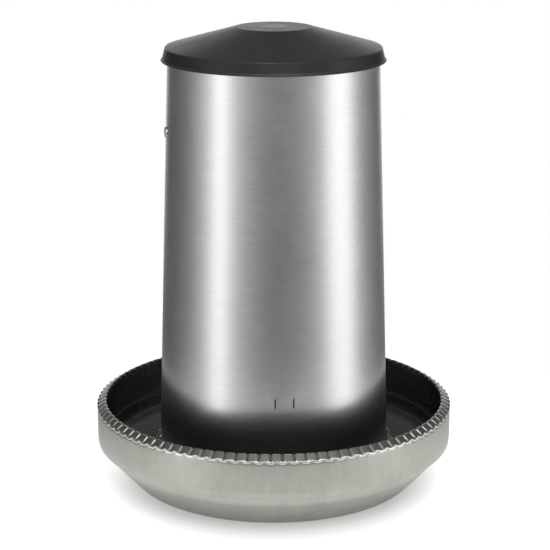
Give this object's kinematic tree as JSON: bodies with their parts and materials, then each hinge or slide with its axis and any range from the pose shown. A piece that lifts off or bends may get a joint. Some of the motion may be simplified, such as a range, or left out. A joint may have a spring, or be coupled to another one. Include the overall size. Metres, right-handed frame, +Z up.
{
  "type": "poultry feeder",
  "caption": "Galvanised gravity feeder for poultry: tapered hopper tube on a wide pan with a crimped rolled rim, wire stirrups, an inner bail and a lift-off black lid.",
  "frame": {"origin": "centre of the pan's foot ring, on the surface the feeder stands on", "axes": "+Z up along the tube's axis; -Y is the front; +X is to the right seen from the front"},
  "size_m": [0.4, 0.4, 0.5103],
  "materials": {
    "tube_galvanised": "bright galvanised sheet with a fine horizontal grain",
    "pan_galvanised": "dull galvanised sheet, faintly olive",
    "zinc_wire": "zinc plated wire",
    "zinc_fasteners": "zinc plated rivets and washers",
    "lid_plastic": "fine textured black polypropylene",
    "badge_plastic": "blank pinkish grey disc"
  },
  "bodies": {
    "pan": {"feed_pan": "pan_galvanised", "rim_ring": "pan_galvanised", "feed_cone": "pan_galvanised", "cone_rivets": "zinc_fasteners", "clip_rivets": "zinc_fasteners", "stirrup_clip_front": "pan_galvanised", "stirrup_clip_right": "pan_galvanised", "stirrup_clip_back": "pan_galvanised", "stirrup_clip_left": "pan_galvanised"},
    "hopper": {"hopper_tube": "tube_galvanised", "bail_pivot_left": "zinc_fasteners", "bail_pivot_right": "zinc_fasteners", "pivot_washers": "zinc_fasteners"},
    "bail": {"bail": "zinc_wire"},
    "lid": {"lid_shell": "lid_plastic", "lid_badge": "badge_plastic"},
    "stirrup_front": {"stirrup_front": "zinc_wire"},
    "stirrup_right": {"stirrup_right": "zinc_wire"},
    "stirrup_back": {"stirrup_back": "zinc_wire"},
    "stirrup_left": {"stirrup_left": "zinc_wire"}
  },
  "joints": [
    {"name": "hopper_level", "type": "slide", "parent": "pan", "child": "hopper", "axis": [0, 0, 1], "range_m": [-0.01, 0.01]},
    {"name": "lid_lift", "type": "slide", "parent": "hopper", "child": "lid", "axis": [0, 0, 1], "range_m": [0, 0.06]},
    {"name": "bail_swing", "type": "hinge", "parent": "hopper", "child": "bail", "pos_m": [0, 0, 0.399], "axis": [0.9781, 0.2079, 0], "continuous": true},
    {"name": "stirrup_front_swing", "type": "hinge", "parent": "pan", "child": "stirrup_front", "pos_m": [0.0124, -0.13363, 0.0062], "axis": [0.9957, 0.0924, 0], "range_deg": [0, 40]},
    {"name": "stirrup_right_swing", "type": "hinge", "parent": "pan", "child": "stirrup_right", "pos_m": [0.13363, 0.0124, 0.0062], "axis": [-0.0924, 0.9957, 0], "range_deg": [0, 40]},
    {"name": "stirrup_back_swing", "type": "hinge", "parent": "pan", "child": "stirrup_back", "pos_m": [-0.0124, 0.13363, 0.0062], "axis": [-0.9957, -0.0924, 0], "range_deg": [0, 40]},
    {"name": "stirrup_left_swing", "type": "hinge", "parent": "pan", "child": "stirrup_left", "pos_m": [-0.13363, -0.0124, 0.0062], "axis": [0.0924, -0.9957, 0], "range_deg": [0, 40]}
  ]
}
